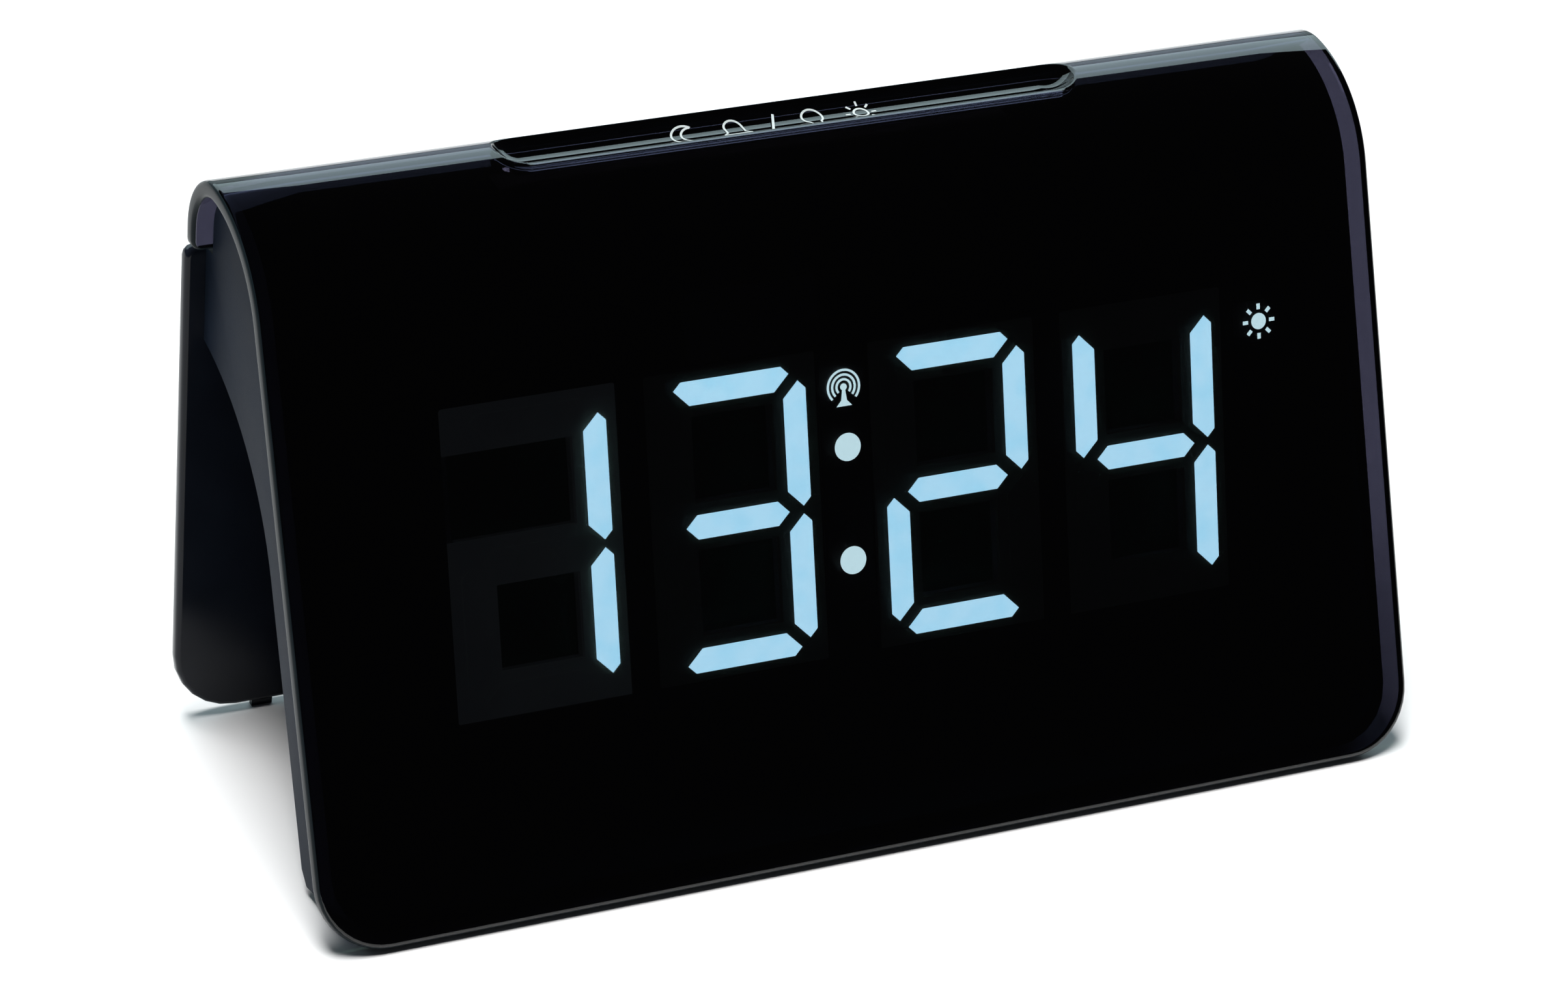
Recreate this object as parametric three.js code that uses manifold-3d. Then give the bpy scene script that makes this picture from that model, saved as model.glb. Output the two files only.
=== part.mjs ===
// Tent-shaped digital alarm clock: a smoked lens folded over the top of a shallow case,
// with a flat panel behind it as the rear leg. Millimetres, +Z up, the face looks along -Y.
import * as THREE from 'three';
import Module from 'manifold-3d';
import { mergeVertices } from 'three/addons/utils/BufferGeometryUtils.js';

// ---- driving dimensions ----
const CLOCK_WIDTH = 165.6;
const CLOCK_HEIGHT = 84.83;
const FACE_LEAN = 27.1;
const LEG_LEAN = 6.5;
const FRONT_BEND_RADIUS = 19.34;
const REAR_BEND_RADIUS = 9.2;
const REAR_TAIL = 3.5;
const LENS_THICKNESS = 2.4;
const LENS_EDGE = 0.7;
const LENS_CORNER = 9.5;
const FOOT_HEIGHT = 0.95;
const FOOT_AT = 5;
const FOOT_LENGTH = 4;

const SIDE_INSET = 2.8;
const CASE_GAP = 0.3;
const CASE_DEPTH = 13.1;
const CASE_WALL = 1.6;
const CASE_BOTTOM = 0.3;
const CASE_CORNER = 8;
const ARCH_RADIUS = 37;
const ARCH_DROP = 27.4;

const LEG_THICKNESS = 2.2;
const LEG_PROUD = 1.9;
const LEG_CORNER = 9;
const LEG_TOP_GAP = 0.45;
const BAND_DROP = 5.8;

const DISH_HALF_LENGTH = 43.4;
const DISH_HALF_WIDTH = 4.2;
const DISH_OFFSET = 0.8;
const DISH_DEPTH = 1.85;

const DISPLAY_LEAN = 22;
const DISPLAY_HEIGHT = 47.8;
const DISPLAY_GAP = 2.2;
const FRAME_TOP = 21.9;
const FRAME_BOTTOM = -24.2;
const DIGIT_PITCH = 29.4;
const DIGIT_GAP = 33.26;
const DIGIT_HALF_WIDTH = 9.26;
const DIGIT_HALF_HEIGHT = 18.4;
const SEGMENT_WIDTH = 3.36;
const SEGMENT_GAP = 1.1;
const OUTER_SHORTER = 1.5;
const MIDDLE_SHORTER = 3.2;
const GHOST_WIDTH = 6.5;
const COLON_CENTRE = 3.5;
const SIGN_X = 64.6;
const SIGN_Y = 15.8;
const DIFFUSER_THICKNESS = 0.8;
const DIFFUSER_RELIEF = 0.15;
const REFLECTOR_THICKNESS = 1.5;
const BOARD_THICKNESS = 0.8;

const KEY_NAMES = ['alarm', 'wave', 'down', 'up', 'set'];
const KEY_PITCH = 14;
const KEY_FIRST_X = -12;
const KEY_LENGTH = 8.6;
const KEY_WIDTH = 4.2;
const KEY_PROUD = 0.9;
const KEY_TRAVEL = 0.6;
const SLIDER_X = 55.5;
const JACK_X = 70;
const TRAY_X = -48;
const TRAY_BORDER = 2.2;
const TRAY_HEIGHT = 5.4;
const TRAY_DEPTH = 23.4;
const CELL_RADIUS = 10;
const CELL_THICKNESS = 2.5;

// ---- shared angles and frames ----
const radians = THREE.MathUtils.degToRad;
const faceSin = Math.sin(radians(FACE_LEAN));
const faceCos = Math.cos(radians(FACE_LEAN));
const legSin = Math.sin(radians(LEG_LEAN));
const legCos = Math.cos(radians(LEG_LEAN));
const frontRise = CLOCK_HEIGHT - FRONT_BEND_RADIUS;
const apexY = (FRONT_BEND_RADIUS + frontRise * faceSin) / faceCos;
const frontCentre = [apexY, frontRise];
const rearCentre = [apexY, CLOCK_HEIGHT - REAR_BEND_RADIUS];
const frontTurn = radians(90 - FACE_LEAN);
const rearTurn = radians(90 + LEG_LEAN);
const faceLength = frontCentre[0] * faceSin + frontCentre[1] * faceCos;
const apexAt = faceLength + FRONT_BEND_RADIUS * frontTurn;
const rearAt = apexAt + REAR_BEND_RADIUS * rearTurn;
const lensLength = rearAt + REAR_TAIL;

function facePoint(along, depth) {
  return [along * faceSin + depth * faceCos, along * faceCos - depth * faceSin];
}

// A point of the lens's outside, measured along its fold from the bottom edge, and the way in.
function hookAt(along) {
  if (along <= faceLength) {
    return { point: facePoint(along, 0), inward: [faceCos, -faceSin] };
  }
  if (along <= apexAt) {
    const turn = (along - apexAt) / FRONT_BEND_RADIUS;
    return bendPoint(frontCentre, FRONT_BEND_RADIUS, turn);
  }
  const turn = Math.min((along - apexAt) / REAR_BEND_RADIUS, rearTurn);
  const bend = bendPoint(rearCentre, REAR_BEND_RADIUS, turn);
  const tail = Math.max(along - rearAt, 0);
  bend.point[0] -= tail * legSin;
  bend.point[1] -= tail * legCos;
  return bend;
}

function bendPoint(centre, radius, turn) {
  const out = [Math.sin(turn), Math.cos(turn)];
  return {
    point: [centre[0] + radius * out[0], centre[1] + radius * out[1]],
    inward: [-out[0], -out[1]],
  };
}

// The leg's outside plane stands proud of the lens's tail by LEG_PROUD.
const tailPoint = hookAt(lensLength).point;
const legOut = [legCos, -legSin];
const legUp = [legSin, legCos];
const legFoot = [0, 0];
legFoot[0] = tailPoint[0] + LEG_PROUD * legOut[0];
legFoot[1] = tailPoint[1] + LEG_PROUD * legOut[1];
const legDrop = legFoot[1] / legUp[1];
legFoot[0] -= legDrop * legUp[0];
legFoot[1] -= legDrop * legUp[1];
const legTop = legDrop - LEG_TOP_GAP;
const band = legTop - BAND_DROP;

function legPoint(along, out) {
  return [legFoot[0] + along * legUp[0] + out * legOut[0], legFoot[1] + along * legUp[1] + out * legOut[1]];
}

function frameOf(right, up, out, origin) {
  const basis = new THREE.Matrix4();
  basis.makeBasis(new THREE.Vector3(...right), new THREE.Vector3(...up), new THREE.Vector3(...out));
  basis.setPosition(0, origin[0], origin[1]);
  return basis;
}

const sideFrame = new THREE.Matrix4().makeBasis(
  new THREE.Vector3(0, 1, 0),
  new THREE.Vector3(0, 0, 1),
  new THREE.Vector3(1, 0, 0),
);
const faceFrame = frameOf([1, 0, 0], [0, faceSin, faceCos], [0, -faceCos, faceSin], [0, 0]);
const legFrame = frameOf([-1, 0, 0], [0, legUp[0], legUp[1]], [0, legOut[0], legOut[1]], legFoot);
const displaySin = Math.sin(radians(DISPLAY_LEAN));
const displayCos = Math.cos(radians(DISPLAY_LEAN));
const displayOrigin = facePoint(DISPLAY_HEIGHT, LENS_THICKNESS + DISPLAY_GAP);
const displayFrame = frameOf(
  [1, 0, 0],
  [0, displaySin, displayCos],
  [0, -displayCos, displaySin],
  displayOrigin,
);

// ---- solids ----
const wasm = await Module();
wasm.setup();

function solidOf(geometry) {
  const clean = geometry.clone();
  clean.deleteAttribute('normal');
  clean.deleteAttribute('uv');
  const merged = mergeVertices(clean, 1e-4);
  return new wasm.Manifold(new wasm.Mesh({
    numProp: 3,
    vertProperties: new Float32Array(merged.attributes.position.array),
    triVerts: new Uint32Array(merged.index.array),
  }));
}

function geometryOf(solid) {
  const mesh = solid.getMesh();
  const positions = [];
  for (const corner of mesh.triVerts) {
    const at = corner * mesh.numProp;
    positions.push(mesh.vertProperties[at], mesh.vertProperties[at + 1], mesh.vertProperties[at + 2]);
  }
  const geometry = new THREE.BufferGeometry();
  geometry.setAttribute('position', new THREE.Float32BufferAttribute(positions, 3));
  geometry.computeVertexNormals();
  return geometry;
}

function joined(first, ...rest) {
  return rest.reduce((total, next) => total.add(next), first);
}

function cutFrom(first, ...rest) {
  return rest.reduce((total, next) => total.subtract(next), first);
}

function shapeOf(points) {
  return new THREE.Shape(points.map(([x, y]) => new THREE.Vector2(x, y)));
}

// A flat outline in a frame, pushed from one height above the frame's plane to another.
function plate(frame, points, low, high, holes = []) {
  const geometry = new THREE.ExtrudeGeometry(shapeOf(points), { depth: high - low, bevelEnabled: false });
  geometry.translate(0, 0, low);
  geometry.applyMatrix4(frame);
  return cutFrom(solidOf(geometry), ...holes.map((hole) => plate(frame, hole, low - 1, high + 1)));
}

function rectangle(x, y, width, height) {
  const right = width / 2;
  const top = height / 2;
  return [[x - right, y - top], [x + right, y - top], [x + right, y + top], [x - right, y + top]];
}

function rounded(x, y, width, height, radius, steps = 5) {
  const points = [];
  for (let corner = 0; corner < 4; corner += 1) {
    const signX = corner === 0 || corner === 3 ? 1 : -1;
    const signY = corner < 2 ? 1 : -1;
    const centreX = x + signX * (width / 2 - radius);
    const centreY = y + signY * (height / 2 - radius);
    for (let step = 0; step <= steps; step += 1) {
      const angle = (corner + step / steps) * Math.PI / 2;
      points.push([centreX + radius * Math.cos(angle), centreY + radius * Math.sin(angle)]);
    }
  }
  return points;
}

function circle(x, y, radius, steps = 20) {
  const points = [];
  for (let step = 0; step < steps; step += 1) {
    const angle = step / steps * Math.PI * 2;
    points.push([x + radius * Math.cos(angle), y + radius * Math.sin(angle)]);
  }
  return points;
}

function rodAlongX(y, z, radius, from, to, steps = 20) {
  return plate(sideFrame, circle(y, z, radius, steps), from, to);
}

// A sheet of even thickness bent along a line, with rounded corners and edges. `pathAt` gives the
// outside point and the way in at each distance; `drop` lowers both skins at a place on the sheet;
// `facing` is 1 for a sheet seen from the front and -1 for one seen from behind.
function bentSheet(sheet) {
  const { pathAt, length, width, thickness, edge, lowCorner, highCorner } = sheet;
  const { rows, columns, drop, facing } = sheet;
  const half = width / 2;
  const turns = 6;
  const stations = [];
  for (let step = 0; step <= turns; step += 1) {
    const angle = (step / turns - 1) * Math.PI / 2;
    stations.push({ low: true, angle });
  }
  for (const along of rows) {
    stations.push({ along });
  }
  const highTurns = highCorner > 3 ? turns : 3;
  for (let step = 0; step <= highTurns; step += 1) {
    stations.push({ high: true, angle: step / highTurns * Math.PI / 2 });
  }
  function outline(station, inset) {
    if (station.low) {
      const reach = lowCorner - inset;
      const along = lowCorner + reach * Math.sin(station.angle);
      return [along, half - lowCorner + reach * Math.cos(station.angle)];
    }
    if (station.high) {
      const reach = highCorner - inset;
      const along = length - highCorner + reach * Math.sin(station.angle);
      return [along, half - highCorner + reach * Math.cos(station.angle)];
    }
    return [station.along, half - inset];
  }
  const rings = [];
  const edgeSteps = 3;
  for (let step = 0; step <= edgeSteps; step += 1) {
    const angle = step / edgeSteps * Math.PI / 2;
    rings.push({ inset: edge * (1 - Math.sin(angle)), depth: edge * (1 - Math.cos(angle)) });
  }
  for (let step = edgeSteps; step >= 0; step -= 1) {
    rings.push({ inset: rings[step].inset, depth: thickness - rings[step].depth });
  }
  function place(x, along, depth) {
    const { point, inward } = pathAt(along);
    const lower = drop ? drop(x, along) : 0;
    return [facing * x, point[0] + inward[0] * depth, point[1] + inward[1] * depth - lower];
  }
  const positions = [];
  function triangle(a, b, c) {
    positions.push(...a, ...b, ...c);
  }
  function quad(a, b, c, d) {
    triangle(a, b, c);
    triangle(a, c, d);
  }
  const last = stations.length - 1;
  for (const side of [0, rings.length - 1]) {
    const { inset, depth } = rings[side];
    for (let row = 0; row < last; row += 1) {
      const [lowAlong, lowHalf] = outline(stations[row], inset);
      const [highAlong, highHalf] = outline(stations[row + 1], inset);
      const lowXs = [-lowHalf, ...columns, lowHalf];
      const highXs = [-highHalf, ...columns, highHalf];
      for (let column = 0; column + 1 < lowXs.length; column += 1) {
        const corners = [
          place(lowXs[column], lowAlong, depth),
          place(lowXs[column + 1], lowAlong, depth),
          place(highXs[column + 1], highAlong, depth),
          place(highXs[column], highAlong, depth),
        ];
        if (side > 0) {
          corners.reverse();
        }
        quad(...corners);
      }
    }
  }
  for (let ring = 0; ring + 1 < rings.length; ring += 1) {
    const near = rings[ring];
    const far = rings[ring + 1];
    for (let row = 0; row < last; row += 1) {
      const [nearLow, nearLowHalf] = outline(stations[row], near.inset);
      const [nearHigh, nearHighHalf] = outline(stations[row + 1], near.inset);
      const [farLow, farLowHalf] = outline(stations[row], far.inset);
      const [farHigh, farHighHalf] = outline(stations[row + 1], far.inset);
      for (const sign of [1, -1]) {
        const corners = [
          place(sign * nearLowHalf, nearLow, near.depth),
          place(sign * farLowHalf, farLow, far.depth),
          place(sign * farHighHalf, farHigh, far.depth),
          place(sign * nearHighHalf, nearHigh, near.depth),
        ];
        if (sign < 0) {
          corners.reverse();
        }
        quad(...corners);
      }
    }
    for (const end of [0, last]) {
      const [nearAlong, nearHalf] = outline(stations[end], near.inset);
      const [farAlong, farHalf] = outline(stations[end], far.inset);
      const nearXs = [-nearHalf, ...columns, nearHalf];
      const farXs = [-farHalf, ...columns, farHalf];
      for (let column = 0; column + 1 < nearXs.length; column += 1) {
        const corners = [
          place(nearXs[column], nearAlong, near.depth),
          place(farXs[column], farAlong, far.depth),
          place(farXs[column + 1], farAlong, far.depth),
          place(nearXs[column + 1], nearAlong, near.depth),
        ];
        if (end > 0) {
          corners.reverse();
        }
        quad(...corners);
      }
    }
  }
  const geometry = new THREE.BufferGeometry();
  geometry.setAttribute('position', new THREE.Float32BufferAttribute(positions, 3));
  return solidOf(geometry);
}

function spread(from, to, count) {
  const values = [];
  for (let step = 1; step < count; step += 1) {
    values.push(from + (to - from) * step / count);
  }
  return values;
}

// ---- lens ----
const dishAt = apexAt + DISH_OFFSET;
const dishSpine = DISH_HALF_LENGTH - DISH_HALF_WIDTH;

const dishFront = dishAt - DISH_HALF_WIDTH;
const dishRear = dishAt + DISH_HALF_WIDTH;
const [frontRimY, frontRimZ] = hookAt(dishFront).point;
const [rearRimY, rearRimZ] = hookAt(dishRear).point;
const dishSlope = (rearRimZ - frontRimZ) / (rearRimY - frontRimY);
const dishBottom = (frontRimZ + rearRimZ) / 2 - DISH_DEPTH;

// How far the touch dish lies below the unbroken sheet: a scoop under the line between its rims.
function dishDrop(x, along) {
  const beyond = Math.max(Math.abs(x) - dishSpine, 0);
  const reach = Math.min(Math.hypot(beyond, along - dishAt) / DISH_HALF_WIDTH, 1);
  const [y, z] = hookAt(along).point;
  const rimLine = frontRimZ + (y - frontRimY) * dishSlope;
  return DISH_DEPTH * (1 - reach ** 2) + (z - rimLine) * (1 - reach ** 4);
}

const lensRows = [
  ...spread(LENS_CORNER, faceLength, 2),
  faceLength,
  ...spread(faceLength, dishFront, 8),
  dishFront,
  ...spread(dishFront, dishRear, 16),
  dishRear,
  ...spread(dishRear, rearAt, 6),
  rearAt,
];
const endSteps = [0, 0.14, 0.28, 0.42, 0.56, 0.7, 0.84, 0.92, 1, 1.25];
const endColumns = endSteps.map((part) => dishSpine + part * DISH_HALF_WIDTH);
const lensColumns = [...endColumns.map((x) => -x).reverse(), ...endColumns];
const lensShell = bentSheet({
  pathAt: hookAt,
  length: lensLength,
  width: CLOCK_WIDTH,
  thickness: LENS_THICKNESS,
  edge: LENS_EDGE,
  lowCorner: LENS_CORNER,
  highCorner: 1.5,
  rows: lensRows,
  columns: lensColumns,
  drop: dishDrop,
  facing: 1,
});

// ---- case ----
// The case's underside is level; this is where it meets a depth behind the lens's outside.
function undersideAt(depth, inside) {
  return (CASE_BOTTOM + inside + depth * faceSin) / faceCos;
}

// Side outline of the case at a distance inside its own outer skin.
function caseOutline(inside, openFront) {
  const lensGap = LENS_THICKNESS + CASE_GAP + inside;
  const frontDepth = openFront ? -4 : lensGap;
  const points = [facePoint(undersideAt(frontDepth, inside), frontDepth)];
  if (openFront) {
    points.push(facePoint(faceLength - 4, frontDepth));
    points.push(facePoint(faceLength - 4, lensGap));
  }
  const steps = 12;
  for (let step = 0; step <= steps; step += 1) {
    const { point, inward } = bendPoint(frontCentre, FRONT_BEND_RADIUS, frontTurn * (step / steps - 1));
    points.push([point[0] + inward[0] * lensGap, point[1] + inward[1] * lensGap]);
  }
  const backPlane = -LEG_THICKNESS - inside;
  for (let step = 1; step <= steps; step += 1) {
    const { point, inward } = bendPoint(rearCentre, REAR_BEND_RADIUS, rearTurn * step / steps);
    points.push([point[0] + inward[0] * lensGap, point[1] + inward[1] * lensGap]);
  }
  const lensSide = -LEG_PROUD - lensGap;
  points.push(legPoint(legTop - inside, lensSide));
  points.push(legPoint(legTop - inside, backPlane));
  const archRadius = ARCH_RADIUS + inside;
  const wallDepth = CASE_DEPTH - inside;
  const archZ = CLOCK_HEIGHT - ARCH_DROP - ARCH_RADIUS;
  const centreAlong = (archZ + (CASE_DEPTH + ARCH_RADIUS) * faceSin) / faceCos;
  const archCentre = facePoint(centreAlong, CASE_DEPTH + ARCH_RADIUS);
  const planeGap = (archCentre[0] - legFoot[0]) * legOut[0] + (archCentre[1] - legFoot[1]) * legOut[1];
  const startAngle = Math.PI / 2 - Math.asin((backPlane - planeGap) / archRadius) - radians(LEG_LEAN);
  const endAngle = Math.PI - radians(FACE_LEAN);
  for (let step = 0; step <= 16; step += 1) {
    const angle = startAngle + (endAngle - startAngle) * step / 16;
    const [y, z] = archCentre;
    points.push([y + archRadius * Math.cos(angle), z + archRadius * Math.sin(angle)]);
  }
  points.push(facePoint(undersideAt(wallDepth, inside), wallDepth));
  return points;
}

function roundedBlock(inside) {
  const width = CLOCK_WIDTH - 2 * (SIDE_INSET + inside);
  const top = faceLength + 40;
  const bottom = undersideAt(LENS_THICKNESS + CASE_GAP, 0) + inside;
  const outline = rounded(0, (top + bottom) / 2, width, top - bottom, CASE_CORNER - inside);
  return plate(faceFrame, outline, -70, 10);
}

const caseHalf = CLOCK_WIDTH / 2 - SIDE_INSET;
const caseOutside = plate(sideFrame, caseOutline(0, false), -caseHalf, caseHalf).intersect(roundedBlock(0));
const innerHalf = caseHalf - CASE_WALL;
const caseInside = plate(sideFrame, caseOutline(CASE_WALL, true), -innerHalf, innerHalf)
  .intersect(roundedBlock(CASE_WALL));

const parts = new THREE.Group();
parts.name = 'alarm_clock';

const looks = {
  smoked: { color: 0x14161c, roughness: 0.06, metalness: 0 },
  textured: { color: 0x34383f, roughness: 0.7, metalness: 0 },
  gloss: { color: 0x0c0d10, roughness: 0.12, metalness: 0 },
  mask: { color: 0x08090a, roughness: 0.5, metalness: 0 },
  diffuser: { color: 0xd8e8f2, roughness: 0.5, metalness: 0 },
  white: { color: 0xe8e8e4, roughness: 0.6, metalness: 0 },
  board: { color: 0x1d5a38, roughness: 0.55, metalness: 0 },
  chip: { color: 0x16161a, roughness: 0.5, metalness: 0 },
  steel: { color: 0xb8babd, roughness: 0.3, metalness: 1 },
  brass: { color: 0xc7a45a, roughness: 0.35, metalness: 1 },
  copper: { color: 0xb4663a, roughness: 0.4, metalness: 1 },
  ferrite: { color: 0x3a3a3c, roughness: 0.7, metalness: 0 },
  rubber: { color: 0x1a1a1a, roughness: 0.9, metalness: 0 },
  ribbon: { color: 0xc9c9c4, roughness: 0.6, metalness: 0 },
};

function add(name, solid, look) {
  const mesh = new THREE.Mesh(geometryOf(solid), new THREE.MeshStandardMaterial(looks[look]));
  mesh.name = name;
  parts.add(mesh);
}

// Openings in the band at the top of the back, in the leg's own plane, x to the viewer's left.
const clear = 0.3;
const slideLength = 9.6;
const keyRound = KEY_WIDTH * 0.45;
const trayWidth = 2 * (CELL_RADIUS + TRAY_BORDER);
const backOpenings = [];
for (let key = 0; key < KEY_NAMES.length; key += 1) {
  const x = KEY_FIRST_X + key * KEY_PITCH;
  const outline = rounded(-x, band, KEY_LENGTH + 2 * clear, KEY_WIDTH + 2 * clear, keyRound + clear);
  backOpenings.push(plate(legFrame, outline, -6, 2));
}
backOpenings.push(plate(legFrame, rounded(-SLIDER_X, band, slideLength, 3.4, 1), -6, 2));
backOpenings.push(plate(legFrame, circle(-JACK_X, band - 0.6, 4.4, 28), -6, 2));
const trayOpening = rectangle(-TRAY_X, band, trayWidth + 2 * clear, TRAY_HEIGHT + 2 * clear);
backOpenings.push(plate(legFrame, trayOpening, -6, 2));

const roomHalf = DISH_HALF_LENGTH + 2;
const dishRoom = plate(sideFrame, rectangle(apexY, CLOCK_HEIGHT - 4.5, 10, 8), -roomHalf, roomHalf);
const boardFront = -LEG_THICKNESS - CASE_WALL - 4.2;
const boardBehind = boardFront - 1.2;
const bossPlaces = [[-24, band + 1.4], [62.8, band + 1.4]];
const bosses = bossPlaces.map(([x, along]) => cutFrom(
  plate(legFrame, circle(-x, along, 1.8, 16), boardFront, -LEG_THICKNESS - 1),
  plate(legFrame, circle(-x, along, 0.95, 14), boardFront - 1, -LEG_THICKNESS - 1.6),
));
let caseBody = cutFrom(caseOutside, caseInside, dishRoom, ...backOpenings);
caseBody = joined(caseBody, ...bosses);
add('lens_shell', lensShell, 'smoked');

// ---- leg ----
const legSheet = bentSheet({
  pathAt: (along) => ({ point: legPoint(along, 0), inward: [-legOut[0], -legOut[1]] }),
  length: legTop,
  width: CLOCK_WIDTH,
  thickness: LEG_THICKNESS,
  edge: LENS_EDGE,
  lowCorner: LEG_CORNER,
  highCorner: 1.5,
  rows: [legTop / 2],
  columns: [],
  facing: -1,
});
const screwPlaces = [[-72.5, band - 3.5], [-28.5, band - 3.5], [77, band + 3]];
const screwHoles = [];
for (const [x, along] of screwPlaces) {
  screwHoles.push(plate(legFrame, circle(-x, along, 1.05, 16), -6, 1));
  screwHoles.push(plate(legFrame, circle(-x, along, 1.95, 16), -1.1, 1));
}
caseBody = cutFrom(caseBody, ...screwHoles);
add('case_body', caseBody, 'textured');
add('rear_leg', cutFrom(legSheet, ...backOpenings, ...screwHoles), 'gloss');
screwPlaces.forEach(([x, along], index) => {
  const head = plate(legFrame, circle(-x, along, 1.8, 16), -1.1, -0.3);
  const shank = plate(legFrame, circle(-x, along, 0.95, 16), -LEG_THICKNESS - CASE_WALL - 0.6, -0.9);
  const drives = [
    plate(legFrame, rectangle(-x, along, 2.2, 0.5), -0.7, 0),
    plate(legFrame, rectangle(-x, along, 0.5, 2.2), -0.7, 0),
  ];
  add(`leg_screw_${index + 1}`, cutFrom(joined(head, shank), ...drives), 'steel');
});

// ---- display ----
const top = DIGIT_HALF_HEIGHT + GHOST_WIDTH / 2 - 0.35;
const digitXs = [-DIGIT_GAP / 2 - DIGIT_PITCH, -DIGIT_GAP / 2, DIGIT_GAP / 2, DIGIT_GAP / 2 + DIGIT_PITCH];

// A bar with mitred ends; `outward` moves its tips towards the outside of the numeral.
function segmentBar(x, y, length, upright, outward) {
  const half = length / 2;
  const side = SEGMENT_WIDTH / 2;
  const tip = outward * side / 3;
  const points = [
    [-half, tip], [side + tip - half, -side], [half - side - tip, -side],
    [half, tip], [half - side + tip, side], [side - tip - half, side],
  ];
  return points.map(([along, across]) => (upright ? [x + across, y + along] : [x + along, y + across]));
}

// The first numeral only ever shows 1 or 2, so it has no upper left bar.
function segmentBars(centre, withUpperLeft) {
  const bars = [segmentBar(centre, 0, 2 * DIGIT_HALF_WIDTH - MIDDLE_SHORTER, false, 0)];
  for (const sign of [-1, 1]) {
    const length = 2 * DIGIT_HALF_WIDTH - OUTER_SHORTER;
    bars.push(segmentBar(centre, sign * DIGIT_HALF_HEIGHT, length, false, sign));
  }
  for (const column of [-1, 1]) {
    for (const row of [-1, 1]) {
      if (withUpperLeft || column > 0 || row < 0) {
        const x = centre + column * DIGIT_HALF_WIDTH;
        const y = row * DIGIT_HALF_HEIGHT / 2;
        bars.push(segmentBar(x, y, DIGIT_HALF_HEIGHT - SEGMENT_GAP, true, column));
      }
    }
  }
  return bars;
}

const ghostWidth = 2 * DIGIT_HALF_WIDTH + GHOST_WIDTH;
const ghostInner = 2 * DIGIT_HALF_WIDTH - GHOST_WIDTH;
const windowHeight = DIGIT_HALF_HEIGHT - GHOST_WIDTH;
const frameHoles = digitXs.map((x) => rounded(x, 0, ghostWidth + 0.4, 2 * top + 0.4, 0.4, 2));
frameHoles.push(rounded(0, COLON_CENTRE, 7.4, 35.4, 1.2, 3));
frameHoles.push(rounded(SIGN_X, SIGN_Y, 8.4, 6.4, 0.6, 2));
const frameMiddle = (FRAME_TOP + FRAME_BOTTOM) / 2;
const frameOutline = rectangle(0, frameMiddle, 2 * innerHalf - 0.8, FRAME_TOP - FRAME_BOTTOM);
add('display_frame', plate(displayFrame, frameOutline, -DIFFUSER_THICKNESS, 0, frameHoles), 'mask');

function numeralWindows(x, withUpperLeft) {
  const windows = [-1, 1].map((side) => (
    rectangle(x, side * DIGIT_HALF_HEIGHT / 2, ghostInner, windowHeight)
  ));
  if (!withUpperLeft) {
    windows.push(rectangle(x - DIGIT_HALF_WIDTH, DIGIT_HALF_HEIGHT / 2, GHOST_WIDTH + 1, windowHeight));
  }
  return windows;
}

digitXs.forEach((x, index) => {
  const windows = numeralWindows(x, index > 0);
  const body = plate(displayFrame, rectangle(x, 0, ghostWidth, 2 * top), -DIFFUSER_THICKNESS, 0, windows);
  const pads = segmentBars(x, index > 0).map((bar) => plate(displayFrame, bar, -0.3, DIFFUSER_RELIEF));
  add(`digit_diffuser_${index + 1}`, joined(body, ...pads), 'diffuser');
});

// Colon dots and the radio-mast sign share one light guide.
const guideBase = plate(displayFrame, rounded(0, COLON_CENTRE, 7, 35, 1, 3), -DIFFUSER_THICKNESS, 0);
const colonPads = [7.6, -8.2].map((y) => (
  plate(displayFrame, circle(0.2, y, 1.94, 28), -0.3, DIFFUSER_RELIEF)
));
const mast = [[-1.5, 13.3], [-1, 13.3], [0, 15.2], [1, 13.3], [1.5, 13.3], [0.35, 15.9], [-0.35, 15.9]];
colonPads.push(plate(displayFrame, mast, -0.3, DIFFUSER_RELIEF));
add('colon_light_guide', joined(guideBase, ...colonPads), 'diffuser');

// A plain sun sign for summer time.
const sunPads = [plate(displayFrame, circle(SIGN_X, SIGN_Y, 1.1, 20), -0.3, DIFFUSER_RELIEF)];
for (let ray = 0; ray < 8; ray += 1) {
  const angle = ray * Math.PI / 4;
  const [dx, dy] = [Math.cos(angle), Math.sin(angle)];
  const outline = [
    [SIGN_X + 1.6 * dx + 0.25 * dy, SIGN_Y + 1.6 * dy - 0.25 * dx],
    [SIGN_X + 2.5 * dx + 0.25 * dy, SIGN_Y + 2.5 * dy - 0.25 * dx],
    [SIGN_X + 2.5 * dx - 0.25 * dy, SIGN_Y + 2.5 * dy + 0.25 * dx],
    [SIGN_X + 1.6 * dx - 0.25 * dy, SIGN_Y + 1.6 * dy + 0.25 * dx],
  ];
  sunPads.push(plate(displayFrame, outline, -0.3, DIFFUSER_RELIEF));
}
const sunBase = plate(displayFrame, rounded(SIGN_X, SIGN_Y, 8, 6, 0.5, 2), -DIFFUSER_THICKNESS, 0);
add('sign_light_guide', joined(sunBase, ...sunPads), 'diffuser');

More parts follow.
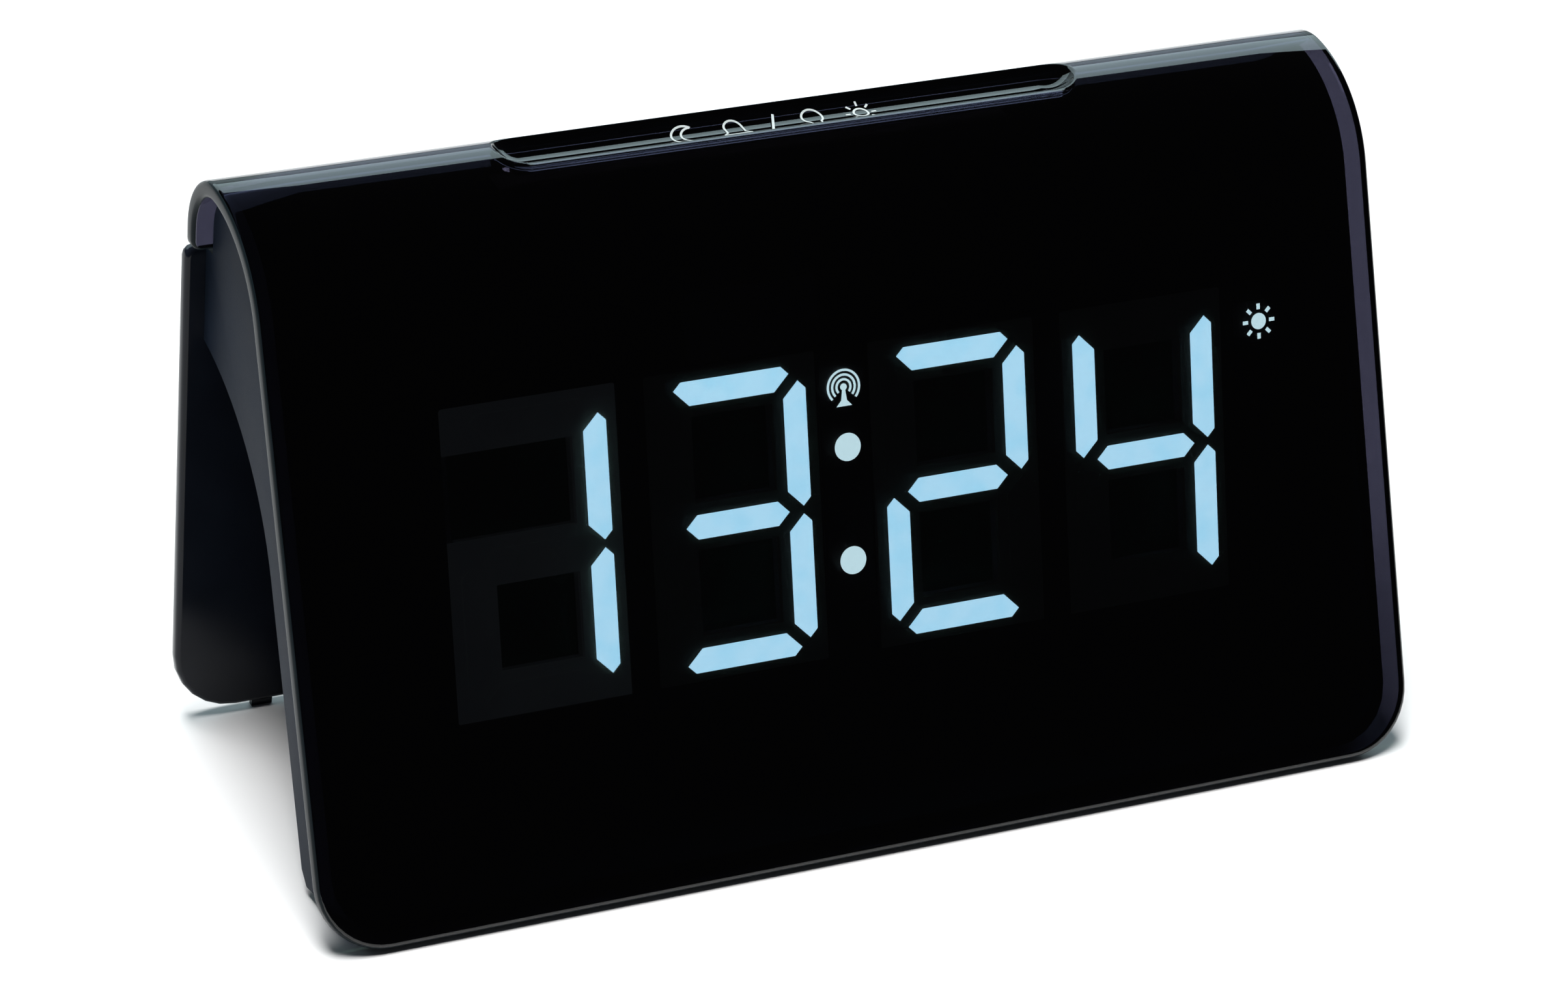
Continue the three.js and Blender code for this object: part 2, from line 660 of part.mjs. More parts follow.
// White block of light wells, one well to a digit and one each for the colon and the sign.
const reflectorFront = -DIFFUSER_THICKNESS;
const reflectorBack = reflectorFront - REFLECTOR_THICKNESS;
const wells = digitXs.map((x) => rectangle(x, 0, ghostWidth - 1.6, 2 * top - 1.6));
wells.push(rectangle(0, COLON_CENTRE, 5, 32));
wells.push(rectangle(SIGN_X, SIGN_Y, 6, 4));
const blockOutline = rectangle(0, -0.6, 2 * innerHalf - 6, 43.4);
add('display_reflector', plate(displayFrame, blockOutline, reflectorBack, reflectorFront, wells), 'white');

const boardBack = reflectorBack - BOARD_THICKNESS;
const boardOutline = rectangle(0, 0.5, 2 * innerHalf - 8, 41);
add('display_board', plate(displayFrame, boardOutline, boardBack, reflectorBack), 'board');
digitXs.forEach((x, index) => {
  const windows = numeralWindows(x, index > 0);
  const film = plate(displayFrame, rectangle(x, 0, 22, 40), reflectorBack, reflectorBack + 0.2, windows);
  const chips = segmentBars(x, index > 0).map((bar) => {
    const middle = [(bar[0][0] + bar[3][0]) / 2, (bar[0][1] + bar[3][1]) / 2];
    return plate(displayFrame, rectangle(...middle, 1.6, 1.6), reflectorBack, reflectorBack + 0.9);
  });
  add(`led_strip_${index + 1}`, joined(film, ...chips), 'white');
});

// ---- electronics in the upper hollow ----
const boardHoles = bossPlaces.map(([x, along]) => plate(legFrame, circle(-x, along, 0.95, 14), -20, -4));
const keyBoard = plate(legFrame, rectangle(-23.5, band + 0.2, 101, 9.6), boardBehind, boardFront);
add('key_board', cutFrom(keyBoard, ...boardHoles), 'board');
bossPlaces.forEach(([x, along], index) => {
  const head = plate(legFrame, circle(-x, along, 1.6, 16), boardBehind - 0.9, boardBehind);
  const shank = plate(legFrame, circle(-x, along, 0.8, 14), boardBehind - 0.4, -5);
  add(`board_screw_${index + 1}`, joined(head, shank), 'steel');
});

KEY_NAMES.forEach((name, index) => {
  const x = KEY_FIRST_X + index * KEY_PITCH;
  const wallInside = -LEG_THICKNESS - CASE_WALL;
  const capOutline = rounded(-x, band, KEY_LENGTH, KEY_WIDTH, keyRound);
  const cap = plate(legFrame, capOutline, wallInside - 0.3, KEY_PROUD);
  const flangeOutline = rounded(-x, band, KEY_LENGTH + 1.8, KEY_WIDTH + 1.8, keyRound + 0.5);
  const flange = plate(legFrame, flangeOutline, wallInside - 0.9, wallInside - 0.1);
  const plungerEnd = wallInside - 1.5;
  const plunger = plate(legFrame, circle(-x, band, 1.4, 16), plungerEnd, wallInside - 0.7);
  add(`key_${name}`, joined(cap, flange, plunger), 'gloss');
  const base = plate(legFrame, rounded(-x, band, 5, 5, 0.5, 2), boardFront, boardFront + 1.6);
  const buttonTop = plungerEnd - KEY_TRAVEL - 0.1;
  const button = plate(legFrame, circle(-x, band, 1.2, 16), boardFront + 1.4, buttonTop);
  add(`tact_switch_${index + 1}`, joined(base, button), 'chip');
});

const slideTop = -LEG_THICKNESS - CASE_WALL - 0.2;
add('slide_switch', plate(legFrame, rectangle(-SLIDER_X, band, 9, 4), boardFront, slideTop), 'steel');
const knobStem = plate(legFrame, rectangle(-SLIDER_X, band, 3.2, 2.4), slideTop + 0.05, KEY_PROUD);
const knobGrooves = [-0.8, 0, 0.8].map((step) => (
  plate(legFrame, rectangle(-SLIDER_X + step, band, 0.3, 4), KEY_PROUD - 0.3, KEY_PROUD + 1)
));
add('slide_knob', cutFrom(knobStem, ...knobGrooves), 'gloss');

const jackCentre = [-JACK_X, band - 0.6];
const jackBody = plate(legFrame, circle(...jackCentre, 4.1, 28), boardFront, -0.4);
add('dc_jack', cutFrom(jackBody, plate(legFrame, circle(...jackCentre, 2.75, 24), -7, 1)), 'mask');
add('dc_pin', plate(legFrame, circle(...jackCentre, 0.95, 16), -7, -1.4), 'steel');

// The cell lies flat in a tray that slides out of the back.
const trayFrame = frameOf([-1, 0, 0], [0, -legOut[0], -legOut[1]], [0, legUp[0], legUp[1]], legFoot);
const cellPlace = [-TRAY_X, 12.4];
const cellLow = band - 0.9;
const trayFloor = plate(
  trayFrame,
  rectangle(-TRAY_X, TRAY_DEPTH / 2, trayWidth - 1, TRAY_DEPTH),
  band - TRAY_HEIGHT / 2 + 0.4,
  cellLow + CELL_THICKNESS + 0.2,
);
const trayLow = band - TRAY_HEIGHT / 2;
const trayFace = plate(trayFrame, rectangle(-TRAY_X, 0.9, trayWidth, 1.8), trayLow, trayLow + TRAY_HEIGHT);
const trayLip = plate(trayFrame, rectangle(-TRAY_X, -0.4, 9, 0.8), band - 0.5, band + 0.5);
const cellWell = plate(trayFrame, circle(...cellPlace, CELL_RADIUS + 0.3, 36), cellLow, band + 9);
add('battery_tray', cutFrom(joined(trayFloor, trayFace, trayLip), cellWell), 'gloss');
const cell = circle(...cellPlace, CELL_RADIUS, 36);
add('coin_cell', plate(trayFrame, cell, cellLow, cellLow + CELL_THICKNESS), 'steel');

// Main board lying over the tray, square to the key board.
const mainLow = band + 3.4;
const mainTop = mainLow + 1;
add('main_board', plate(trayFrame, rectangle(16, 15.2, 92, 11.6), mainLow, mainTop), 'board');
add('controller_chip', plate(trayFrame, rectangle(10, 16, 12, 7), mainTop, mainTop + 1.2), 'chip');
add('capacitor', plate(trayFrame, circle(-14, 13, 2.6), mainTop, mainTop + 6), 'chip');
add('buzzer', plate(trayFrame, circle(44, 15, 5, 24), mainTop, mainTop + 4.5), 'chip');
const contactLow = cellLow + CELL_THICKNESS + 0.3;
[-5, 5].forEach((offset, index) => {
  const leaf = plate(trayFrame, rectangle(-TRAY_X + offset, 13, 3, 7), contactLow, mainLow);
  add(`battery_contact_${index + 1}`, leaf, 'brass');
});
const touchFront = 15;
const touchMiddle = touchFront - 3.5;
const touchLevel = dishBottom - LENS_THICKNESS - CASE_GAP;
const touchHigh = (touchLevel - touchFront * legSin) / legCos;
const touchSheet = rectangle(5, touchMiddle, 2 * (dishSpine - 1), 7);
const touchTop = plate(trayFrame, touchSheet, touchHigh - 0.3, touchHigh);
const touchLegs = [-20, 30].map((x) => (
  plate(trayFrame, rectangle(x, touchMiddle, 3, 0.4), mainTop, touchHigh - 0.2)
));
add('touch_plate', joined(touchTop, ...touchLegs), 'brass');

const rodPlace = [apexY - 7.2, CLOCK_HEIGHT - 12.5];
add('ferrite_rod', rodAlongX(...rodPlace, 3, 36, innerHalf - 0.1), 'ferrite');
const coilOuter = rodAlongX(...rodPlace, 4.3, 44, 58, 24);
add('antenna_coil', cutFrom(coilOuter, rodAlongX(...rodPlace, 3.3, 43, 59, 24)), 'copper');

// Flat cable from the back of the display board up to the main board.
function displayPoint(up, out) {
  const [y, z] = displayOrigin;
  return [y + up * displaySin - out * displayCos, z + up * displayCos + out * displaySin];
}

function strip(points, thickness) {
  const left = [];
  const right = [];
  for (let index = 0; index < points.length; index += 1) {
    const before = points[Math.max(index - 1, 0)];
    const after = points[Math.min(index + 1, points.length - 1)];
    const run = [after[0] - before[0], after[1] - before[1]];
    const size = Math.hypot(...run) / (thickness / 2);
    left.push([points[index][0] - run[1] / size, points[index][1] + run[0] / size]);
    right.push([points[index][0] + run[1] / size, points[index][1] - run[0] / size]);
  }
  return [...right, ...left.reverse()];
}

const cableLine = [
  displayPoint(14, boardBack - 0.2),
  displayPoint(14.6, boardBack - 0.9),
  displayPoint(16.4, boardBack - 1.5),
  legPoint(mainLow - 2.6, -19.4),
  legPoint(mainLow - 0.9, -18.9),
  legPoint(mainLow - 0.2, -17.6),
];
add('display_cable', plate(sideFrame, strip(cableLine, 0.3), -20, 0), 'ribbon');

// ---- feet ----
for (const [side, sign] of [['left', -1], ['right', 1]]) {
  const frontX = sign * 60;
  const frontHeight = CASE_BOTTOM + FOOT_HEIGHT;
  const frontMiddle = (CASE_BOTTOM - FOOT_HEIGHT) / 2;
  const frontShape = rectangle(FOOT_AT + FOOT_LENGTH / 2, frontMiddle, FOOT_LENGTH, frontHeight);
  add(`front_foot_${side}`, plate(sideFrame, frontShape, frontX - 6, frontX + 6), 'rubber');
  const rearX = sign * 69.75;
  const outer = legPoint(0, -LENS_EDGE);
  const inner = legPoint(0, LENS_EDGE - LEG_THICKNESS);
  const rearShape = [[inner[0], -FOOT_HEIGHT], [outer[0], -FOOT_HEIGHT], outer, inner];
  add(`rear_foot_${side}`, plate(sideFrame, rearShape, rearX - 1.5, rearX + 1.5), 'rubber');
}

// The origin is under the middle of the clock, on the plane its feet stand on.
const extent = new THREE.Box3().setFromObject(parts);
for (const mesh of parts.children) {
  mesh.geometry.translate(0, -(extent.min.y + extent.max.y) / 2, -extent.min.z);
}

export default parts;
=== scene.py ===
"""A tent-shaped digital alarm clock with a smoked lens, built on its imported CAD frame."""

import math

import bmesh
import bpy
from mathutils import Matrix, Vector


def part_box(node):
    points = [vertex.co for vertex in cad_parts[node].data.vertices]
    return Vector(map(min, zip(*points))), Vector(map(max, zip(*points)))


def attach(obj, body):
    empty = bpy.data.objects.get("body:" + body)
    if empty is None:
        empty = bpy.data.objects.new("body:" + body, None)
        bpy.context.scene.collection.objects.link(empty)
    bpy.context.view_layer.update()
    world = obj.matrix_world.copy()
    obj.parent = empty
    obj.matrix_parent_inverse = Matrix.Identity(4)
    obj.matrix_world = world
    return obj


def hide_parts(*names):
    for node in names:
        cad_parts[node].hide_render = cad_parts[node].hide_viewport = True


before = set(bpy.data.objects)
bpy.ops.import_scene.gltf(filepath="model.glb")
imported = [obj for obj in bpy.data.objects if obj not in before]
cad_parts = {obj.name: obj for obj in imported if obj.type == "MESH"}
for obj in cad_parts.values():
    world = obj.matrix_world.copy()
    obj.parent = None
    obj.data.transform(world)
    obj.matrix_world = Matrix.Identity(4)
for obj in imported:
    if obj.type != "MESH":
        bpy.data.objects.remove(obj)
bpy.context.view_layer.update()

MM = 0.001

# ---- driving dimensions, millimetres, the same as the CAD's ----
CLOCK_WIDTH = 165.6
CLOCK_HEIGHT = 84.83
FACE_LEAN = math.radians(27.1)
LEG_LEAN = math.radians(6.5)
FRONT_BEND = 19.34
REAR_BEND = 9.2
REAR_TAIL = 3.5
LENS_THICKNESS = 2.4
LENS_EDGE = 0.7
LENS_CORNER = 9.5
LENS_TAIL_CORNER = 1.5
FOOT_HEIGHT = 0.95
FOOT_AT = 5
LEG_PROUD = 1.9
LEG_TOP_GAP = 0.45
BAND_DROP = 5.8
DISH_HALF_LENGTH = 43.4
DISH_HALF_WIDTH = 4.2
DISH_OFFSET = 0.8
DISH_DEPTH = 1.85
DISPLAY_LEAN = math.radians(22)
DISPLAY_HEIGHT = 47.8
DISPLAY_GAP = 2.2
DIGIT_PITCH = 29.4
DIGIT_GAP = 33.26
DIGIT_HALF_WIDTH = 9.26
DIGIT_HALF_HEIGHT = 18.4
SEGMENT_WIDTH = 3.36
SEGMENT_GAP = 1.1
OUTER_SHORTER = 1.5
MIDDLE_SHORTER = 3.2
DOT_X = 0.2
DOT_HEIGHTS = (7.6, -8.2)
DOT_RADIUS = 1.94
SIGN_AT = (64.6, 15.8)
KEY_PITCH = 14
KEY_FIRST_X = -12
SLIDER_X = 55.5
RELIEF = 0.15

# ---- the lit pads and the picture signs, millimetres ----
GLOW = 0.08
MAST_CENTRE = 15.95
MAST_WAVES = (1.05, 1.7, 2.35)
MAST_WAVE_WIDTH = 0.3
SIGN_RADIUS = 1.15
SIGN_RAY = (1.7, 2.5)
SIGN_RAY_WIDTH = 0.5
PRINT_LOW = 0.005
PRINT_HIGH = 0.03
PRINT_LINE = 0.3
FINE_LINE = 0.25
SLASH_LINE = 0.35
BACK_SIGNS_UP = 4.1
SWITCH_SIGN_APART = 2.6

# ---- how finely the lens is divided ----
CORNER_STEPS = 10
TAIL_STEPS = 4
EDGE_STEPS = 5
EDGE_RINGS = range(2, 10)
DISH_END_STEPS = 22
PAST_DISH = (1.1, 1.4)
OUTER_COLUMNS = [60.0, 72.0]

# ---- camera, in the side outline's axes ----
CAMERA_AT = (-341.6, -550.19, 485.81)
CAMERA_HEADING = 29.95
CAMERA_DROP = 33.64
CAMERA_ROLL = 8.12
CAMERA_LENS = 136.5

face_sin, face_cos = math.sin(FACE_LEAN), math.cos(FACE_LEAN)
leg_sin, leg_cos = math.sin(LEG_LEAN), math.cos(LEG_LEAN)
front_rise = CLOCK_HEIGHT - FRONT_BEND
apex_y = (FRONT_BEND + front_rise * face_sin) / face_cos
front_centre = (apex_y, front_rise)
rear_centre = (apex_y, CLOCK_HEIGHT - REAR_BEND)
front_turn = math.pi / 2 - FACE_LEAN
rear_turn = math.pi / 2 + LEG_LEAN
face_length = front_centre[0] * face_sin + front_centre[1] * face_cos
apex_at = face_length + FRONT_BEND * front_turn
rear_at = apex_at + REAR_BEND * rear_turn
lens_length = rear_at + REAR_TAIL


def new_object(name, mesh, smooth=True):
    item = bpy.data.objects.new(name, mesh)
    bpy.context.scene.collection.objects.link(item)
    if smooth:
        mesh.polygons.foreach_set("use_smooth", [True] * len(mesh.polygons))
    return item


def face_point(along, depth):
    return along * face_sin + depth * face_cos, along * face_cos - depth * face_sin


def bend_point(centre, radius, turn):
    out = (math.sin(turn), math.cos(turn))
    return (centre[0] + radius * out[0], centre[1] + radius * out[1]), (-out[0], -out[1])


def hook_at(along):
    """A point of the lens's outside at a distance along its fold, and the way in."""
    if along <= face_length:
        return face_point(along, 0), (face_cos, -face_sin)
    if along <= apex_at:
        return bend_point(front_centre, FRONT_BEND, (along - apex_at) / FRONT_BEND)
    turn = min((along - apex_at) / REAR_BEND, rear_turn)
    point, inward = bend_point(rear_centre, REAR_BEND, turn)
    tail = max(along - rear_at, 0)
    return (point[0] - tail * leg_sin, point[1] - tail * leg_cos), inward


# The side outline starts at the lens's bottom edge, FOOT_AT in front of the front feet, and the
# frame's origin is under the middle.
CENTRE_Y = FOOT_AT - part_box("front_foot_left")[0].y / MM


def place(x, y, z):
    """A point of the side outline's axes, in the frame's metres."""
    return Vector((x, y - CENTRE_Y, z + FOOT_HEIGHT)) * MM


tail_end, _ = hook_at(lens_length)
leg_rise = (tail_end[1] - LEG_PROUD * leg_sin) / leg_cos
leg_foot = tail_end[0] + LEG_PROUD * leg_cos - leg_rise * leg_sin
BAND = leg_rise - LEG_TOP_GAP - BAND_DROP


def leg_point(x, along, out):
    """A point on the back: x to the right seen from the front, along the leg, and out behind it."""
    return place(x, leg_foot + along * leg_sin + out * leg_cos, along * leg_cos - out * leg_sin)


def display_point(x, up, out):
    """A point in front of the display plane: x to the right, up along it, out towards the viewer."""
    origin = face_point(DISPLAY_HEIGHT, LENS_THICKNESS + DISPLAY_GAP)
    y = origin[0] + up * math.sin(DISPLAY_LEAN) - out * math.cos(DISPLAY_LEAN)
    z = origin[1] + up * math.cos(DISPLAY_LEAN) + out * math.sin(DISPLAY_LEAN)
    return place(x, y, z)


# ---- materials ----
def material(name):
    made = bpy.data.materials.new(name)
    made.use_nodes = True
    tree = made.node_tree
    shader = tree.nodes["Principled BSDF"]
    return made, tree, shader


def link(tree, source, output, target, socket):
    tree.links.new(source.outputs[output], target.inputs[socket])


def object_coordinates(tree):
    return tree.nodes.new("ShaderNodeTexCoord")


def noise(tree, scale, detail=3.0, roughness=0.5):
    node = tree.nodes.new("ShaderNodeTexNoise")
    node.inputs["Scale"].default_value = scale
    node.inputs["Detail"].default_value = detail
    node.inputs["Roughness"].default_value = roughness
    link(tree, object_coordinates(tree), "Object", node, "Vector")
    return node


def ramp(tree, source, low, high, low_at=0.35, high_at=0.65):
    node = tree.nodes.new("ShaderNodeValToRGB")
    node.color_ramp.elements[0].position = low_at
    node.color_ramp.elements[0].color = (*low, 1)
    node.color_ramp.elements[1].position = high_at
    node.color_ramp.elements[1].color = (*high, 1)
    link(tree, source, "Fac", node, "Fac")
    return node


def spread(tree, source, low, high):
    node = tree.nodes.new("ShaderNodeMapRange")
    node.inputs["To Min"].default_value = low
    node.inputs["To Max"].default_value = high
    link(tree, source, "Fac", node, "Value")
    return node


def bump(tree, source, output, strength, distance, shader):
    node = tree.nodes.new("ShaderNodeBump")
    node.inputs["Strength"].default_value = strength
    node.inputs["Distance"].default_value = distance
    link(tree, source, output, node, "Height")
    link(tree, node, "Normal", shader, "Normal")
    return node


def plastic(name, low, high, roughness, grain_scale=0.0, grain_depth=0.0, mottle=120.0, shine=0.5):
    """Moulded plastic: a little colour and gloss variation, and a spark-eroded grain if asked."""
    made, tree, shader = material(name)
    shader.inputs["Specular IOR Level"].default_value = shine
    clouds = noise(tree, mottle)
    link(tree, ramp(tree, clouds, low, high), "Color", shader, "Base Color")
    link(tree, spread(tree, clouds, roughness * 0.85, roughness * 1.15), "Result", shader, "Roughness")
    if grain_scale:
        grain = noise(tree, grain_scale, 4.0, 0.6)
        bump(tree, grain, "Fac", 0.6, grain_depth, shader)
    return made


def metal(name, low, high, roughness):
    made, tree, shader = material(name)
    shader.inputs["Metallic"].default_value = 1.0
    streaks = noise(tree, 900.0, 2.0)
    link(tree, ramp(tree, streaks, low, high), "Color", shader, "Base Color")
    link(tree, spread(tree, streaks, roughness * 0.8, roughness * 1.3), "Result", shader, "Roughness")
    return made


def glowing(name, middle, rim, strength):
    """A lit diffuser, its tint varying at random between a paler middle colour and its rim colour."""
    made, tree, shader = material(name)
    shader.inputs["Roughness"].default_value = 0.5
    cells = noise(tree, 260.0, 1.0)
    tint = ramp(tree, cells, rim, middle, 0.3, 0.6)
    link(tree, tint, "Color", shader, "Base Color")
    link(tree, tint, "Color", shader, "Emission Color")
    shader.inputs["Emission Strength"].default_value = strength
    return made


def unlit(name, low, high, strength):
    """A diffuser with a painted glow: its emission stands in for the stray light it catches from its lit
    neighbours.
    """
    made, tree, shader = material(name)
    clouds = noise(tree, 90.0)
    tone = ramp(tree, clouds, low, high)
    link(tree, tone, "Color", shader, "Base Color")
    link(tree, tone, "Color", shader, "Emission Color")
    shader.inputs["Emission Strength"].default_value = strength
    shader.inputs["Roughness"].default_value = 0.5
    return made


def smoked_acrylic(name, tint):
    made, tree, shader = material(name)
    haze = noise(tree, 60.0)
    shader.inputs["Base Color"].default_value = (*tint, 1)
    shader.inputs["Transmission Weight"].default_value = 1.0
    shader.inputs["IOR"].default_value = 1.49
    link(tree, spread(tree, haze, 0.0, 0.012), "Result", shader, "Roughness")
    return made


# The lit colours are set against the lens's tint, so that they look ice blue through it.
LENS_TINT = (0.028, 0.027, 0.045)
LIT_MIDDLE = (0.56, 1.0, 0.77)
LIT_RIM = (0.48, 0.96, 0.76)
SIGN_MIDDLE = (0.69, 1.0, 0.66)
SEGMENT_GLOW = 26.2
SIGN_GLOW = 27.0

looks = {
    "lens": smoked_acrylic("smoked_acrylic", LENS_TINT),
    "lens_edge": plastic(
        "smoked_acrylic_edge", (0.006, 0.010, 0.012), (0.009, 0.014, 0.017), 0.25, shine=0.07,
    ),
    "case": plastic(
        "textured_slate", (0.007, 0.012, 0.022), (0.009, 0.015, 0.027), 0.5, 5200, 0.00006, shine=0.05,
    ),
    "gloss": plastic("polished_black", (0.0055, 0.007, 0.011), (0.007, 0.009, 0.014), 0.12, shine=0.2),
    "mask": plastic("mask_black", (0.004, 0.004, 0.005), (0.006, 0.006, 0.007), 0.6, 3000, 0.00003),
    # Painted glow: the unlit diffusers emit faintly in place of stray light from the lit segments, the
    # first numeral's more brightly than the rest.
    "ghost": unlit("diffuser_painted_glow", (0.26, 0.32, 0.23), (0.31, 0.37, 0.26), 0.32),
    "ghost_dim": unlit("dim_diffuser_painted_glow", (0.07, 0.085, 0.055), (0.09, 0.105, 0.07), 0.25),
    "white": plastic("white_reflector", (0.70, 0.70, 0.68), (0.78, 0.78, 0.76), 0.5),
    "board": plastic("circuit_board", (0.015, 0.10, 0.045), (0.022, 0.14, 0.06), 0.35, 1400, 0.00002),
    "package": plastic("component_black", (0.012, 0.012, 0.013), (0.02, 0.02, 0.021), 0.45, 2500, 0.00002),
    "steel": metal("plated_steel", (0.55, 0.56, 0.58), (0.68, 0.69, 0.70), 0.28),
    "brass": metal("brass_strip", (0.70, 0.50, 0.22), (0.80, 0.60, 0.30), 0.3),
    "copper": metal("enamelled_copper", (0.52, 0.22, 0.09), (0.66, 0.32, 0.15), 0.32),
    "ferrite": plastic("ferrite_grey", (0.035, 0.035, 0.037), (0.055, 0.055, 0.057), 0.6, 1800, 0.00003),
    "rubber": plastic("foot_rubber", (0.010, 0.010, 0.010), (0.018, 0.018, 0.018), 0.8, 2600, 0.00004),
    "cable": plastic("flat_cable", (0.55, 0.55, 0.52), (0.66, 0.66, 0.62), 0.45),
    "print": plastic("pale_print", (0.42, 0.47, 0.47), (0.50, 0.55, 0.55), 0.45),
    "lit": glowing("lit_segments", LIT_MIDDLE, LIT_RIM, SEGMENT_GLOW),
    "lit_signs": glowing("lit_signs", SIGN_MIDDLE, SIGN_MIDDLE, SIGN_GLOW),
}

NODE_LOOKS = {
    "case_body": "case",
    "rear_leg": "gloss",
    "display_frame": "mask",
    "display_reflector": "white",
    "display_board": "board",
    "key_board": "board",
    "main_board": "board",
    "controller_chip": "package",
    "capacitor": "package",
    "buzzer": "package",
    "slide_switch": "steel",
    "slide_knob": "gloss",
    "dc_jack": "mask",
    "dc_pin": "steel",
    "battery_tray": "gloss",
    "coin_cell": "steel",
    "touch_plate": "brass",
    "ferrite_rod": "ferrite",
    "antenna_coil": "copper",
    "display_cable": "cable",
}
PREFIX_LOOKS = {
    "digit_diffuser_1": "ghost",
    "digit_diffuser": "ghost_dim",
    "colon_light": "mask",
    "sign_light": "mask",
    "led_strip": "white",
    "leg_screw": "steel",
    "board_screw": "steel",
    "tact_switch": "package",
    "key_": "gloss",
    "battery_contact": "brass",
    "front_foot": "rubber",
    "rear_foot": "gloss",
    "lens_shell": "lens",
}


def look_of(node):
    if node in NODE_LOOKS:
        return NODE_LOOKS[node]
    return next(look for prefix, look in PREFIX_LOOKS.items() if node.startswith(prefix))


# ---- the CAD's own pieces: materials, and softened edges ----
EDGE_ROUND = {"case_body": 0.35, "battery_tray": 0.15, "slide_knob": 0.12}
KEY_ROUND = 0.25
ROUND_STEEPER_THAN = math.radians(50)
CREASE_STEEPER_THAN = math.radians(38)
WELD_REACH = 1e-6


def finish_cad_node(node, item):
    item.data.materials.clear()
    item.data.materials.append(looks[look_of(node)])
    item.data.polygons.foreach_set("use_smooth", [True] * len(item.data.polygons))
    weld = item.modifiers.new("weld", "WELD")
    weld.merge_threshold = WELD_REACH
    if node in EDGE_ROUND or node.startswith("key_"):
        round_edges = item.modifiers.new("round", "BEVEL")
        round_edges.width = EDGE_ROUND.get(node, KEY_ROUND) * MM
        round_edges.segments = 2
        round_edges.limit_method = "ANGLE"
        round_edges.angle_limit = ROUND_STEEPER_THAN
        round_edges.use_clamp_overlap = True
    crease = item.modifiers.new("crease", "EDGE_SPLIT")
    crease.split_angle = CREASE_STEEPER_THAN


for node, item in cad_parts.items():
    finish_cad_node(node, item)


# ---- lens ----
dish_at = apex_at + DISH_OFFSET
dish_front = dish_at - DISH_HALF_WIDTH
dish_rear = dish_at + DISH_HALF_WIDTH
front_rim, _ = hook_at(dish_front)
rear_rim, _ = hook_at(dish_rear)
dish_slope = (rear_rim[1] - front_rim[1]) / (rear_rim[0] - front_rim[0])


def dish_drop(x, along):
    """How far the touch dish lies below the unbroken fold: a scoop under the line between its rims."""
    beyond = max(abs(x) - (DISH_HALF_LENGTH - DISH_HALF_WIDTH), 0)
    reach = min(math.hypot(beyond, along - dish_at) / DISH_HALF_WIDTH, 1)
    (y, z), _ = hook_at(along)
    rim_line = front_rim[1] + (y - front_rim[0]) * dish_slope
    return DISH_DEPTH * (1 - reach ** 2) + (z - rim_line) * (1 - reach ** 4)


def lens_surface(x, along, depth):
    point, inward = hook_at(along)
    return place(x, point[0] + inward[0] * depth, point[1] + inward[1] * depth - dish_drop(x, along))


def even(low, high, count):
    return [low + (high - low) * step / count for step in range(1, count)]


